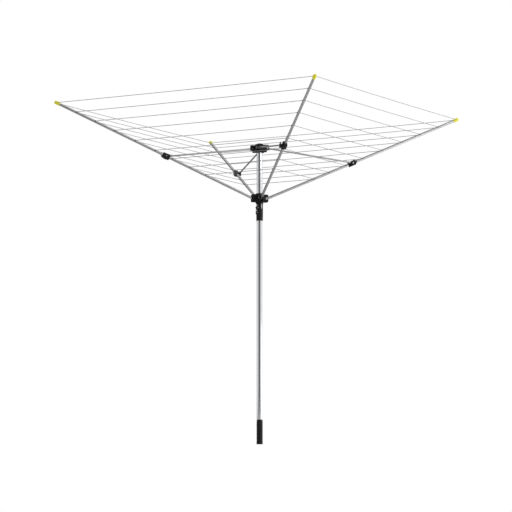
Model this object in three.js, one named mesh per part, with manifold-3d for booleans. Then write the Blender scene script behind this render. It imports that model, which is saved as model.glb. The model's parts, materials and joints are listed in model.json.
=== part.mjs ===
// Rotary clothesline with four folding arms, in millimetres.
// +Z is up, the origin is the centre of the foot's flat bottom, and the arms
// point along +X, +Y, -X and -Y. The model is shown open, ready for use.
import * as THREE from 'three';
import { mergeVertices } from 'three/addons/utils/BufferGeometryUtils.js';
import Module from 'manifold-3d';

const wasm = await Module();
wasm.setup();

// ---------------------------------------------------------------- dimensions
const GAP = 0.3; // clearance between touching pieces
const RIGHT_ANGLE = Math.PI / 2;
const BODY_SEGMENTS = 20; // flats round the mast, foot and hubs
const TUBE_SEGMENTS = 10; // flats round the arms, struts, caps and pins
const FINE_SEGMENTS = 6; // flats round the lines, small holes and screws
const ARM_COUNT = 4;

// mast and foot
const MAST_RADIUS = 17.5;
const MAST_BORE = 16.5;
const MAST_TOP_Z = 1801;
const FOOT_RADIUS = 18.4;
const FOOT_RIM_RADIUS = 19;
const FOOT_RIM_HEIGHT = 8;
const FOOT_HEIGHT = 145;
const FOOT_CHAMFER_HEIGHT = 12;
const SPIGOT_RADIUS = 12.8;
const SPIGOT_TOP_Z = 236;
const SPIGOT_CHAMFER = 2;
const FOOT_BORE = 9.5;
const FOOT_FLOOR = 8;
const WASHER_THICKNESS = 2;
const WASHER_LOW_Z = FOOT_HEIGHT + GAP;
const MAST_LOW_Z = WASHER_LOW_Z + WASHER_THICKNESS + GAP;

// folding linkage: an arm turns on the runner, a strut holds it from the top hub
const PIVOT_RADIUS = 41; // from the mast's axis to the runner and top hub pivots
const RUNNER_PIVOT_Z = 1478;
const TOP_PIVOT_Z = 1783;
const ARM_ANGLE = THREE.MathUtils.degToRad(23.8); // above the horizontal, open
const BRACKET_AT = 587; // from the arm's root pivot to the strut's pin
const STRUT_OFFSET = 20.5; // a strut lies beside its arm, on the clockwise side
const ARM_RISE = BRACKET_AT * Math.sin(ARM_ANGLE);
const ARM_REACH = BRACKET_AT * Math.cos(ARM_ANGLE);
const STRUT_DROP = TOP_PIVOT_Z - RUNNER_PIVOT_Z - ARM_RISE;
const STRUT_LENGTH = Math.hypot(ARM_REACH, STRUT_DROP);
const STRUT_ANGLE = Math.atan2(STRUT_DROP, ARM_REACH); // below the horizontal, open

// arms and lines, measured along the arm from its root pivot
const ARM_RADIUS = 8;
const ARM_BORE = 7.2;
const ARM_START = -6;
const ARM_PLUG_DEPTH = 28;
const ARM_END = 1305;
const TIP_LINE_AT = 1313;
const LINE_STATIONS = [323, 429, 545, 661, 797, 934, 1062, 1187];
const LINE_RADIUS = 1.6;
const LINE_HOLE_RADIUS = 2.5;
const LINE_HOLE_RISE = 2.2; // the holes lie a little above the arm's axis
const TIP_RADIUS = 10.3;
const TIP_START = 1297;
const TIP_END = 1332;

// struts
const STRUT_RADIUS = 5;
const STRUT_BORE = 4.2;
const STRUT_EYE_RADIUS = 7.5;
const STRUT_EYE_WIDTH = 9;
const STRUT_TUBE_INSET = 16; // from each pin to the tube's end
const STRUT_SPIGOT = 20; // of an eye inside the strut's tube
const PIN_RADIUS = 3;
const PIN_HEAD_RADIUS = 5.6;
const PIN_HEAD_WIDTH = 2.2;
const SPINE_RISE = PIN_RADIUS + LINE_RADIUS + 0.35; // the cord inside an arm clears the pin

// clevis cheeks beside a strut eye, in the top hub and in the brackets
const CHEEK_WIDTH = 4;
const CHEEK_GAP = STRUT_EYE_WIDTH / 2 + GAP;
const STRUT_CHEEK_OUTER = STRUT_OFFSET + CHEEK_GAP + CHEEK_WIDTH;
const STRUT_CHEEK_INNER = STRUT_OFFSET - CHEEK_GAP - CHEEK_WIDTH;

// top hub
const HUB_CORE_RADIUS = 29;
const HUB_BOTTOM_Z = 1757;
const HUB_TOP_Z = 1806;
const HUB_LUG_END = 51.5; // from the mast's axis
const HUB_LUG_BOTTOM_Z = 1771;
const HUB_LUG_CORNER = 7;
const HUB_SKIRT_END = 38; // the lugs' lower part stays inside a folded strut
const CAP_RADIUS = 21;
const CAP_HEIGHT = 8;
const RIVET_RADIUS = 2.2;
const RIVET_HEAD_RADIUS = 4;
const RIVET_HEAD_WIDTH = 1.6;
const RIVET_Z = 1776;
const RIVET_AZIMUTH = -12; // degrees, between two lugs and clear of a folded arm

// runner: hub with arm clevises, and the grip sleeve below it
const RUNNER_CORE_RADIUS = 29;
const RUNNER_BOTTOM_Z = 1456;
const RUNNER_TOP_Z = 1503;
const RUNNER_LUG_END = 51.5;
const RUNNER_LUG_CORNER = 9;
const COLLAR_RADIUS = 24;
const COLLAR_TOP_Z = 1509;
const RUNNER_BUSH_RADIUS = 20.6;
const SLIDE_BORE = 17.9;
const ARM_CHEEK_INNER = ARM_RADIUS + 1.1;
const ARM_CHEEK_OUTER = ARM_CHEEK_INNER + 5;
const GRIP_BOTTOM_Z = 1343;
const GRIP_TOP_Z = RUNNER_BOTTOM_Z - GAP;
const GRIP_MOUTH_RADIUS = 19.2;
const GRIP_BELLY_RADIUS = 20.6;
const GRIP_WAIST_RADIUS = 20;
const GRIP_SHOULDER_RADIUS = 22.5;
const WINDOW_HALF_WIDTH = 5.4;
const UPPER_WINDOW = [1428, 1448]; // lowest and highest z
const LOWER_WINDOW = [1390, 1412];
const SIDE_WINDOW = [1416, 1444];
const SIDE_WINDOW_HALF_WIDTH = 2.2;
const SIDE_WINDOW_AZIMUTH = -70; // degrees

// latch lever, its pin and its spring, between the arms at -X and -Y
const LATCH_AZIMUTH = THREE.MathUtils.degToRad(-146);
const LATCH_PIVOT_Z = 1421;
const LATCH_PIVOT_RADIUS = 24.5;
const LATCH_HALF_WIDTH = 5;
const LATCH_NOSE_Z = 1446;
const LATCH_TAIL_RADIUS = 31;
const LATCH_TAIL_Z = 1381;
const LATCH_OPENINGS = [[1399, 1409], [1430, 1441]]; // lowest and highest z
const LATCH_OPENING_HALF_WIDTH = 3.2;
const LATCH_PIN_RADIUS = 1.5;
const LATCH_PIN_HEAD_RADIUS = 2.6;
const LATCH_PIN_HALF_LENGTH = 9.7;
const EAR_RADIUS = 4.4;
const EAR_INNER = 5.4;
const EAR_OUTER = 8.4;
const SPRING_HALF_WIDTH = 3;
const SPRING_THICKNESS = 0.6;
const SPRING_TOP_Z = 1409;
const SPRING_BEND_Z = 1396;

// brackets
const BRACKET_HALF_LENGTH = 23;
const BRACKET_TOP = 12.5;
const BRACKET_BOTTOM = -14;
const BRACKET_WALL = 4.2;
const BRIDGE_TOP = -10.4;
const PRONG_INNER = 5.5; // from the strut's middle plane, clear of the folded strut's tube

// longer than half of any piece that a cutting tool passes through
const THROUGH = 60;

// ---------------------------------------------------------------- materials
const material = (color, roughness, metalness) =>
  new THREE.MeshStandardMaterial({ color, roughness, metalness });
const blackPlastic = () => material(0x1c1d1e, 0.45, 0);
const yellowPlastic = () => material(0xd8d21e, 0.4, 0);
const whiteNylon = () => material(0xe6e4dc, 0.5, 0);
const mastMetal = () => material(0xb4b6ba, 0.25, 1);
const armMetal = () => material(0x8c8f92, 0.38, 1);
const zinc = () => material(0xc9ccd0, 0.3, 1);
const lineCover = () => material(0xb9bcbf, 0.55, 0);

// ------------------------------------------------------------ solid helpers
// Every geometry becomes a closed solid with its faces pointing out.
function toSolid(geometry) {
  const bare = geometry.clone();
  bare.deleteAttribute('normal');
  bare.deleteAttribute('uv');
  const merged = mergeVertices(bare, 1e-4);
  const position = merged.attributes.position.array;
  const corners = merged.index.array;
  const triangles = [];
  let sixVolumes = 0;
  for (let i = 0; i < corners.length; i += 3) {
    const [a, b, c] = [corners[i], corners[i + 1], corners[i + 2]];
    if (a === b || b === c || c === a) continue;
    triangles.push([a, b, c]);
    const [pa, pb, pc] = [a, b, c].map((k) => new THREE.Vector3().fromArray(position, 3 * k));
    sixVolumes += pa.dot(pb.cross(pc));
  }
  if (sixVolumes < 0) triangles.forEach((triangle) => triangle.reverse());
  return new wasm.Manifold(new wasm.Mesh({
    numProp: 3,
    vertProperties: Float32Array.from(position),
    triVerts: Uint32Array.from(triangles.flat()),
  }));
}

function toGeometry(solid) {
  const mesh = solid.getMesh();
  const geometry = new THREE.BufferGeometry();
  geometry.setAttribute('position', new THREE.BufferAttribute(mesh.vertProperties, 3));
  geometry.setIndex(new THREE.BufferAttribute(mesh.triVerts, 1));
  geometry.computeVertexNormals();
  return geometry;
}

const join = (...solids) => solids.reduce((whole, next) => whole.add(next));
const cut = (body, ...tools) => tools.reduce((rest, tool) => rest.subtract(tool), body);

// A closed profile of [radius, height] points turned round the Z axis.
function turned(profile, segments = BODY_SEGMENTS) {
  const points = profile.map(([radius, height]) => new THREE.Vector2(radius, height));
  const first = points[0];
  const last = points[points.length - 1];
  if (first.x > 0 && last.x > 0) points.push(first.clone());
  return toSolid(new THREE.LatheGeometry(points, segments).rotateX(RIGHT_ANGLE));
}

// A ring or tube round the Z axis.
function ring(outer, inner, low, high, segments = BODY_SEGMENTS) {
  return turned([[inner, low], [outer, low], [outer, high], [inner, high]], segments);
}

// A rod between two points.
function rod(radius, from, to, segments = TUBE_SEGMENTS) {
  const start = new THREE.Vector3(...from);
  const span = new THREE.Vector3(...to).sub(start);
  const middle = start.clone().addScaledVector(span, 0.5);
  const turn = new THREE.Quaternion()
    .setFromUnitVectors(new THREE.Vector3(0, 1, 0), span.clone().normalize());
  const geometry = new THREE.CylinderGeometry(radius, radius, span.length(), segments);
  geometry.applyQuaternion(turn).translate(middle.x, middle.y, middle.z);
  return toSolid(geometry);
}

// A rod along the local Y axis, as every hinge pin is.
const crossRod = (radius, x, z, fromY, toY, segments = TUBE_SEGMENTS) =>
  rod(radius, [x, fromY, z], [x, toY, z], segments);

// A box given by its lowest and highest corners.
function box(low, high) {
  const size = high.map((value, i) => value - low[i]);
  const middle = high.map((value, i) => (value + low[i]) / 2);
  return toSolid(new THREE.BoxGeometry(...size).translate(...middle));
}

// An outline drawn in the X-Z plane, extruded along Y.
function plate(outline, fromY, toY, curveSegments = 2) {
  const geometry = new THREE.ExtrudeGeometry(outline, {
    depth: toY - fromY,
    bevelEnabled: false,
    curveSegments,
  });
  return toSolid(geometry.rotateX(RIGHT_ANGLE).translate(0, toY, 0));
}

// A rectangle in the X-Z plane with round corners.
function roundedOutline(lowX, highX, lowZ, highZ, radius) {
  const outline = new THREE.Shape();
  outline.moveTo(lowX + radius, lowZ);
  outline.lineTo(highX - radius, lowZ);
  outline.absarc(highX - radius, lowZ + radius, radius, -RIGHT_ANGLE, 0);
  outline.lineTo(highX, highZ - radius);
  outline.absarc(highX - radius, highZ - radius, radius, 0, RIGHT_ANGLE);
  outline.lineTo(lowX + radius, highZ);
  outline.absarc(lowX + radius, highZ - radius, radius, RIGHT_ANGLE, 2 * RIGHT_ANGLE);
  outline.lineTo(lowX, lowZ + radius);
  outline.absarc(lowX + radius, lowZ + radius, radius, -2 * RIGHT_ANGLE, -RIGHT_ANGLE);
  return outline;
}

// A tube or ring that lies along the local X axis.
function tubeAlongX(outer, inner, fromX, toX, segments = TUBE_SEGMENTS) {
  const profile = [[inner, fromX], [outer, fromX], [outer, toX], [inner, toX]];
  return turned(profile, segments).rotate([0, 90, 0]);
}

// A rod whose flats line up with those of a tube along the local X axis.
const rodAlongX = (radius, fromX, toX) =>
  turned([[0, fromX], [radius, fromX], [radius, toX], [0, toX]], TUBE_SEGMENTS)
    .rotate([0, 90, 0]);

// The same solid turned about Z into each of the four arm directions.
const aroundMast = (solid) =>
  Array.from({ length: ARM_COUNT }, (_, k) => solid.rotate([0, 0, 90 * k]));

function piece(name, solid, finish) {
  const mesh = new THREE.Mesh(toGeometry(solid), finish);
  mesh.name = name;
  return mesh;
}

// ------------------------------------------------------------ foot and mast
function foot() {
  return turned([
    [0, 0], [FOOT_RIM_RADIUS, 0], [FOOT_RIM_RADIUS, FOOT_RIM_HEIGHT],
    [FOOT_RADIUS, FOOT_RIM_HEIGHT + 2], [FOOT_RADIUS, FOOT_HEIGHT - FOOT_CHAMFER_HEIGHT],
    [MAST_RADIUS - GAP, FOOT_HEIGHT], [SPIGOT_RADIUS, FOOT_HEIGHT],
    [SPIGOT_RADIUS, SPIGOT_TOP_Z - SPIGOT_CHAMFER], [SPIGOT_RADIUS - SPIGOT_CHAMFER, SPIGOT_TOP_Z],
    [FOOT_BORE, SPIGOT_TOP_Z], [FOOT_BORE, FOOT_FLOOR], [0, FOOT_FLOOR],
  ]);
}

const thrustWasher = () =>
  ring(MAST_RADIUS - 0.6, SPIGOT_RADIUS + GAP, WASHER_LOW_Z, WASHER_LOW_Z + WASHER_THICKNESS);

const mastBush = () =>
  ring(MAST_BORE - GAP, SPIGOT_RADIUS + GAP, MAST_LOW_Z + 1, SPIGOT_TOP_Z - SPIGOT_CHAMFER);

const rivetHole = () =>
  rod(RIVET_RADIUS + GAP, [-THROUGH, 0, RIVET_Z], [THROUGH, 0, RIVET_Z])
    .rotate([0, 0, RIVET_AZIMUTH]);

const mastTube = () => cut(ring(MAST_RADIUS, MAST_BORE, MAST_LOW_Z, MAST_TOP_Z), rivetHole());

// ----------------------------------------------------------------- top hub
// Four clevises sit round the core like a pinwheel, each beside its arm's
// plane, so that a folded arm stands upright next to its own clevis.
function topHub() {
  const lug = plate(
    roundedOutline(0, HUB_LUG_END, HUB_LUG_BOTTOM_Z, HUB_TOP_Z - 2, HUB_LUG_CORNER),
    -STRUT_CHEEK_OUTER, -STRUT_CHEEK_INNER,
  );
  const skirt = box(
    [0, -STRUT_CHEEK_OUTER, HUB_BOTTOM_Z + 2],
    [HUB_SKIRT_END, -STRUT_CHEEK_INNER, HUB_LUG_BOTTOM_Z + HUB_LUG_CORNER],
  );
  const slot = box(
    [HUB_CORE_RADIUS - 3, -STRUT_OFFSET - CHEEK_GAP, HUB_BOTTOM_Z - 5],
    [THROUGH, -STRUT_OFFSET + CHEEK_GAP, TOP_PIVOT_Z + STRUT_EYE_RADIUS + 2],
  );
  const pinHole = crossRod(PIN_RADIUS + GAP, PIVOT_RADIUS, TOP_PIVOT_Z, -THROUGH, 0);
  const core = turned([
    [0, HUB_BOTTOM_Z], [HUB_CORE_RADIUS - 4, HUB_BOTTOM_Z], [HUB_CORE_RADIUS, HUB_BOTTOM_Z + 4],
    [HUB_CORE_RADIUS, HUB_TOP_Z - 2], [HUB_CORE_RADIUS - 2, HUB_TOP_Z], [0, HUB_TOP_Z],
  ]);
  const mastSocket = rod(
    MAST_RADIUS + GAP, [0, 0, HUB_BOTTOM_Z - 5], [0, 0, MAST_TOP_Z + GAP], BODY_SEGMENTS);
  return cut(
    join(core, ...aroundMast(lug), ...aroundMast(skirt)),
    ...aroundMast(slot), ...aroundMast(pinHole), mastSocket, rivetHole(),
  );
}

// A shallow dome on the hub.
const topCap = () => turned([
  [0, HUB_TOP_Z + GAP], [CAP_RADIUS, HUB_TOP_Z + GAP], [CAP_RADIUS, HUB_TOP_Z + 3],
  [CAP_RADIUS - 4, HUB_TOP_Z + 6], [CAP_RADIUS - 12, HUB_TOP_Z + CAP_HEIGHT],
  [0, HUB_TOP_Z + CAP_HEIGHT],
]);

function hubRivet() {
  const face = HUB_CORE_RADIUS + GAP;
  const head = rod(RIVET_HEAD_RADIUS, [face, 0, RIVET_Z], [face + RIVET_HEAD_WIDTH, 0, RIVET_Z]);
  const shank = rod(RIVET_RADIUS, [-face - 1, 0, RIVET_Z], [face + 1, 0, RIVET_Z]);
  return join(shank, head, head.mirror([1, 0, 0])).rotate([0, 0, RIVET_AZIMUTH]);
}

// A headed pin along local Y at x, z, from its first head to its second.
function headedPin(x, z, fromY, toY) {
  return join(
    crossRod(PIN_RADIUS, x, z, fromY - 1, toY + 1),
    crossRod(PIN_HEAD_RADIUS, x, z, fromY - PIN_HEAD_WIDTH, fromY),
    crossRod(PIN_HEAD_RADIUS - 1.2, x, z, toY, toY + PIN_HEAD_WIDTH),
  );
}

const topPin = () =>
  headedPin(PIVOT_RADIUS, TOP_PIVOT_Z, -STRUT_CHEEK_OUTER - GAP, -STRUT_CHEEK_INNER + GAP);

// ------------------------------------------------------------------ runner
function runnerHub() {
  const core = turned([
    [0, RUNNER_BOTTOM_Z], [RUNNER_CORE_RADIUS - 5, RUNNER_BOTTOM_Z],
    [RUNNER_CORE_RADIUS, RUNNER_BOTTOM_Z + 5], [RUNNER_CORE_RADIUS, RUNNER_TOP_Z - 3],
    [RUNNER_CORE_RADIUS - 3, RUNNER_TOP_Z], [COLLAR_RADIUS, RUNNER_TOP_Z],
    [COLLAR_RADIUS - 1, COLLAR_TOP_Z], [0, COLLAR_TOP_Z],
  ]);
  const lug = plate(
    roundedOutline(0, RUNNER_LUG_END, RUNNER_BOTTOM_Z, RUNNER_TOP_Z, RUNNER_LUG_CORNER),
    -ARM_CHEEK_OUTER, ARM_CHEEK_OUTER,
  );
  const slot = box(
    [RUNNER_CORE_RADIUS, -ARM_CHEEK_INNER, RUNNER_BOTTOM_Z - 5],
    [THROUGH, ARM_CHEEK_INNER, RUNNER_TOP_Z + 5],
  );
  const studHole = crossRod(PIN_RADIUS + GAP, PIVOT_RADIUS, RUNNER_PIVOT_Z, -THROUGH / 2, 0);
  const bushBore = rod(
    RUNNER_BUSH_RADIUS + GAP, [0, 0, RUNNER_BOTTOM_Z - 5], [0, 0, RUNNER_TOP_Z], BODY_SEGMENTS);
  const slideBore = rod(
    SLIDE_BORE, [0, 0, RUNNER_TOP_Z - 1], [0, 0, COLLAR_TOP_Z + 5], BODY_SEGMENTS);
  return cut(
    join(core, ...aroundMast(lug)),
    ...aroundMast(slot), ...aroundMast(studHole), bushBore, slideBore,
  );
}

const runnerBush = () =>
  ring(RUNNER_BUSH_RADIUS, SLIDE_BORE, RUNNER_BOTTOM_Z + 6, RUNNER_TOP_Z - GAP);

// A headed stud in the clockwise cheek of each clevis marks the arm's pivot.
// It ends at the cheek's inner face, because the linkage is open at this pivot.
function armStud() {
  const shankEnd = -ARM_CHEEK_INNER - 0.2;
  const headFace = -ARM_CHEEK_OUTER - GAP;
  return join(
    crossRod(PIN_RADIUS, PIVOT_RADIUS, RUNNER_PIVOT_Z, headFace - 1, shankEnd),
    crossRod(PIN_HEAD_RADIUS, PIVOT_RADIUS, RUNNER_PIVOT_Z, headFace - PIN_HEAD_WIDTH, headFace),
  );
}

// A solid made at +X, turned to the latch's azimuth.
const atLatch = (solid) => solid.rotate([0, 0, THREE.MathUtils.radToDeg(LATCH_AZIMUTH)]);

// A window through the grip at +X, from its lowest to its highest z.
const gripWindow = (halfWidth, [low, high]) =>
  box([MAST_RADIUS - 5, -halfWidth, low], [THROUGH, halfWidth, high]);

const latchPinHole = () =>
  crossRod(LATCH_PIN_RADIUS + GAP, LATCH_PIVOT_RADIUS, LATCH_PIVOT_Z, -THROUGH, THROUGH);

function gripSleeve() {
  const sleeve = turned([
    [SLIDE_BORE, GRIP_BOTTOM_Z], [GRIP_MOUTH_RADIUS, GRIP_BOTTOM_Z],
    [GRIP_BELLY_RADIUS - 0.8, GRIP_BOTTOM_Z + 3], [GRIP_BELLY_RADIUS, LOWER_WINDOW[0] + 10],
    [GRIP_BELLY_RADIUS, LOWER_WINDOW[1]], [GRIP_WAIST_RADIUS, UPPER_WINDOW[0]],
    [GRIP_BELLY_RADIUS, GRIP_TOP_Z - 13], [GRIP_SHOULDER_RADIUS, GRIP_TOP_Z - 6],
    [GRIP_SHOULDER_RADIUS, GRIP_TOP_Z], [SLIDE_BORE, GRIP_TOP_Z],
  ]);
  const ear = join(
    crossRod(EAR_RADIUS, LATCH_PIVOT_RADIUS, LATCH_PIVOT_Z, EAR_INNER, EAR_OUTER),
    box([SLIDE_BORE + 1, EAR_INNER, LATCH_PIVOT_Z - EAR_RADIUS],
      [LATCH_PIVOT_RADIUS, EAR_OUTER, LATCH_PIVOT_Z + EAR_RADIUS]),
  );
  const earRoom = rod(
    SLIDE_BORE + 1, [0, 0, GRIP_BOTTOM_Z], [0, 0, GRIP_TOP_Z], BODY_SEGMENTS);
  const ears = cut(atLatch(join(ear, ear.mirror([0, 1, 0]))), earRoom);
  return cut(
    join(sleeve, ears),
    atLatch(gripWindow(WINDOW_HALF_WIDTH, UPPER_WINDOW)),
    atLatch(gripWindow(WINDOW_HALF_WIDTH, LOWER_WINDOW)),
    atLatch(latchPinHole()),
    gripWindow(SIDE_WINDOW_HALF_WIDTH, SIDE_WINDOW).rotate([0, 0, SIDE_WINDOW_AZIMUTH]),
  );
}

// The lever rocks on a pin between two ears of the grip. Its nose reaches
// through the grip's upper window and bears on the mast as a brake. Two
// openings through it show the mast.
function latchLever() {
  const noseFace = MAST_RADIUS + GAP;
  const backAtPivot = LATCH_PIVOT_RADIUS - 2.7;
  const frontAtPivot = LATCH_PIVOT_RADIUS + 3.1;
  const outline = new THREE.Shape();
  outline.moveTo(noseFace, LATCH_NOSE_Z - 4);
  outline.lineTo(noseFace, LATCH_NOSE_Z);
  outline.lineTo(noseFace + 1.5, LATCH_NOSE_Z + 1.5);
  outline.lineTo(frontAtPivot - 3.6, LATCH_NOSE_Z + 1.5);
  outline.lineTo(frontAtPivot - 1, LATCH_NOSE_Z - 2);
  outline.lineTo(frontAtPivot, LATCH_PIVOT_Z);
  outline.lineTo(LATCH_TAIL_RADIUS, LATCH_TAIL_Z + 5);
  outline.quadraticCurveTo(
    LATCH_TAIL_RADIUS, LATCH_TAIL_Z, LATCH_TAIL_RADIUS - 3.5, LATCH_TAIL_Z);
  outline.lineTo(LATCH_TAIL_RADIUS - 5, LATCH_TAIL_Z + 2);
  outline.lineTo(LATCH_PIVOT_RADIUS - 0.1, LATCH_PIVOT_Z - 19);
  outline.lineTo(backAtPivot, LATCH_PIVOT_Z - 7);
  outline.lineTo(backAtPivot, LATCH_NOSE_Z - 4);
  const lever = plate(outline, -LATCH_HALF_WIDTH, LATCH_HALF_WIDTH, 4);
  const openings = LATCH_OPENINGS.map((range) => gripWindow(LATCH_OPENING_HALF_WIDTH, range));
  return cut(lever, latchPinHole(), ...openings);
}

function latchPin() {
  const headWidth = 1.1;
  const head = crossRod(
    LATCH_PIN_HEAD_RADIUS, LATCH_PIVOT_RADIUS, LATCH_PIVOT_Z,
    LATCH_PIN_HALF_LENGTH - headWidth, LATCH_PIN_HALF_LENGTH);
  const shank = crossRod(
    LATCH_PIN_RADIUS, LATCH_PIVOT_RADIUS, LATCH_PIVOT_Z,
    -LATCH_PIN_HALF_LENGTH + 0.1, LATCH_PIN_HALF_LENGTH - 0.1);
  return join(shank, head, head.mirror([0, 1, 0]));
}

// A bent leaf spring, held behind the grip's wall, presses the lever's lower
// end outward.
function latchSpring() {
  const back = SLIDE_BORE + 0.7;
  const front = back + SPRING_THICKNESS;
  const outline = new THREE.Shape();
  outline.moveTo(back, SPRING_TOP_Z);
  outline.lineTo(front, SPRING_TOP_Z);
  outline.lineTo(front, SPRING_BEND_Z + SPRING_THICKNESS);
  outline.lineTo(front + 4.7, SPRING_BEND_Z - 2);
  outline.lineTo(front + 5.2, SPRING_BEND_Z);
  outline.lineTo(front + 5.5, SPRING_BEND_Z - 1);
  outline.lineTo(front + 4.9, SPRING_BEND_Z - 3.2);
  outline.lineTo(back, SPRING_BEND_Z - 0.2);
  return plate(outline, -SPRING_HALF_WIDTH, SPRING_HALF_WIDTH);
}

// -------------------------------------------------------------------- arms
// Arm pieces are made along local X, with the root pivot at the origin and
// the strut's side at negative local Y.
function armTube() {
  const holes = LINE_STATIONS.map(
    (x) => crossRod(LINE_HOLE_RADIUS, x, LINE_HOLE_RISE, -THROUGH, THROUGH, FINE_SEGMENTS));
  const pivotHole = crossRod(PIN_RADIUS + GAP, 0, 0, -THROUGH, THROUGH);
  const bracketHole = crossRod(PIN_RADIUS + GAP, BRACKET_AT, 0, -THROUGH, THROUGH);
  return cut(
    tubeAlongX(ARM_RADIUS, ARM_BORE, ARM_START, ARM_END),
    pivotHole, bracketHole, ...holes,
  );
}

function armRoot() {
  const plug = turned([
    [0, -ARM_RADIUS - 0.8], [5, -ARM_RADIUS - 0.4], [7.6, ARM_START - GAP],
    [ARM_BORE - GAP, ARM_START - GAP], [ARM_BORE - GAP, ARM_PLUG_DEPTH], [0, ARM_PLUG_DEPTH],
  ], TUBE_SEGMENTS).rotate([0, 90, 0]);
  return cut(plug, crossRod(PIN_RADIUS + GAP, 0, 0, -THROUGH, THROUGH));
}

function tipCap() {
  const shell = turned([
    [ARM_RADIUS + GAP, TIP_START], [TIP_RADIUS - 0.6, TIP_START], [TIP_RADIUS, TIP_START + 3],
    [TIP_RADIUS, TIP_END - 7], [TIP_RADIUS - 2.8, TIP_END - 2], [0, TIP_END],
    [0, ARM_END + GAP], [ARM_RADIUS + GAP, ARM_END + GAP],
  ], TUBE_SEGMENTS).rotate([0, 90, 0]);
  const lineHole = crossRod(
    LINE_HOLE_RADIUS, TIP_LINE_AT, LINE_HOLE_RISE, -THROUGH, THROUGH, FINE_SEGMENTS);
  const passage = rod(
    LINE_HOLE_RADIUS, [ARM_END - 5, 0, SPINE_RISE], [TIP_LINE_AT + 2.5, 0, SPINE_RISE],
    FINE_SEGMENTS);
  return cut(shell, lineHole, passage);
}

// A sleeve on the arm tube, and a cheek beyond the strut that a bridge below
// joins to it. A thinner prong carries the cheek on towards the arm's tip.
function bracket() {
  const side = ARM_RADIUS + BRACKET_WALL;
  const sleeve = plate(
    roundedOutline(-BRACKET_HALF_LENGTH, BRACKET_HALF_LENGTH, BRACKET_BOTTOM, BRACKET_TOP, 6),
    -side, side);
  const cheek = plate(
    roundedOutline(-15, 13, BRACKET_BOTTOM, 9, 8), -STRUT_CHEEK_OUTER, -STRUT_OFFSET - CHEEK_GAP);
  const prong = plate(
    roundedOutline(0, BRACKET_HALF_LENGTH + 3, -9, 8.5, 7),
    -STRUT_CHEEK_OUTER, -STRUT_OFFSET - PRONG_INNER);
  const bridge = box(
    [-11, -STRUT_CHEEK_OUTER + 1, BRACKET_BOTTOM], [9, -ARM_RADIUS, BRIDGE_TOP]);
  const pinHole = crossRod(PIN_RADIUS + GAP, 0, 0, -THROUGH, THROUGH);
  const bore = rodAlongX(ARM_RADIUS + GAP, -THROUGH, THROUGH);
  return cut(join(sleeve, cheek, prong, bridge), bore, pinHole).translate([BRACKET_AT, 0, 0]);
}

const bracketPin = () =>
  headedPin(0, 0, -STRUT_CHEEK_OUTER - GAP, ARM_RADIUS + BRACKET_WALL + GAP)
    .translate([BRACKET_AT, 0, 0]);

// ------------------------------------------------------------------ struts
// Strut pieces are made along local X from the top hub's pin to the bracket's.
const strutTube = () =>
  tubeAlongX(STRUT_RADIUS, STRUT_BORE, STRUT_TUBE_INSET, STRUT_LENGTH - STRUT_TUBE_INSET);

// An eye on the pin, a neck, and a spigot inside the strut's tube.
function strutEye() {
  const half = STRUT_EYE_WIDTH / 2;
  const eye = join(
    crossRod(STRUT_EYE_RADIUS, 0, 0, -half, half),
    rod(half, [0, 0, 0], [STRUT_TUBE_INSET - GAP, 0, 0]),
    rod(STRUT_BORE - GAP, [0, 0, 0], [STRUT_TUBE_INSET + STRUT_SPIGOT, 0, 0]),
  );
  return cut(eye, crossRod(PIN_RADIUS + GAP, 0, 0, -THROUGH, THROUGH));
}

// ------------------------------------------------------------------- lines
// One long cord makes the nine squares. At every station it runs straight
// through a hole in the arm and then on both sides to the middle of the panel,
// where it meets the next arm's half. From square to square it steps along the
// inside of the arm's tube, past the bracket's pin.
// A point of the arm's frame, given in the frame of its side of the mast.
function fromArm(along, across, rise) {
  return [
    PIVOT_RADIUS + along * Math.cos(ARM_ANGLE) - rise * Math.sin(ARM_ANGLE),
    across,
    RUNNER_PIVOT_Z + along * Math.sin(ARM_ANGLE) + rise * Math.cos(ARM_ANGLE),
  ];
}

function lineThroughArm(station) {
  const holder = station === TIP_LINE_AT ? TIP_RADIUS : ARM_RADIUS;
  const mouth = holder + LINE_RADIUS;
  const [reach, , height] = fromArm(station, 0, LINE_HOLE_RISE);
  const middle = (reach + mouth) / 2;
  const half = rod(
    LINE_RADIUS, [reach, mouth, height], [middle + GAP / 2, middle - GAP / 2, height],
    FINE_SEGMENTS);
  const through = rod(
    LINE_RADIUS, [reach, -mouth - 0.4, height], [reach, mouth + 0.4, height], FINE_SEGMENTS);
  return join(through, half, half.mirror([0, 1, 0]));
}

function armLines() {
  const spine = rod(
    LINE_RADIUS, fromArm(LINE_STATIONS[0], 0, SPINE_RISE), fromArm(TIP_LINE_AT, 0, SPINE_RISE),
    FINE_SEGMENTS);
  return join(spine, ...[...LINE_STATIONS, TIP_LINE_AT].map(lineThroughArm));
}

// ---------------------------------------------------------------- assembly
const clothesline = new THREE.Group();

clothesline.add(
  piece('foot_sleeve', foot(), blackPlastic()),
  piece('thrust_washer', thrustWasher(), whiteNylon()),
  piece('mast_tube', mastTube(), mastMetal()),
  piece('mast_bush', mastBush(), whiteNylon()),
  piece('top_hub', topHub(), blackPlastic()),
  piece('top_cap', topCap(), blackPlastic()),
  piece('hub_rivet', hubRivet(), zinc()),
  piece('runner_hub', runnerHub(), blackPlastic()),
  piece('runner_bush', runnerBush(), whiteNylon()),
  piece('grip_sleeve', gripSleeve(), blackPlastic()),
);

const latch = new THREE.Group();
latch.rotation.z = LATCH_AZIMUTH;
latch.add(
  piece('latch_lever', latchLever(), blackPlastic()),
  piece('latch_pin', latchPin(), zinc()),
  piece('latch_spring', latchSpring(), zinc()),
);
clothesline.add(latch);

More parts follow.
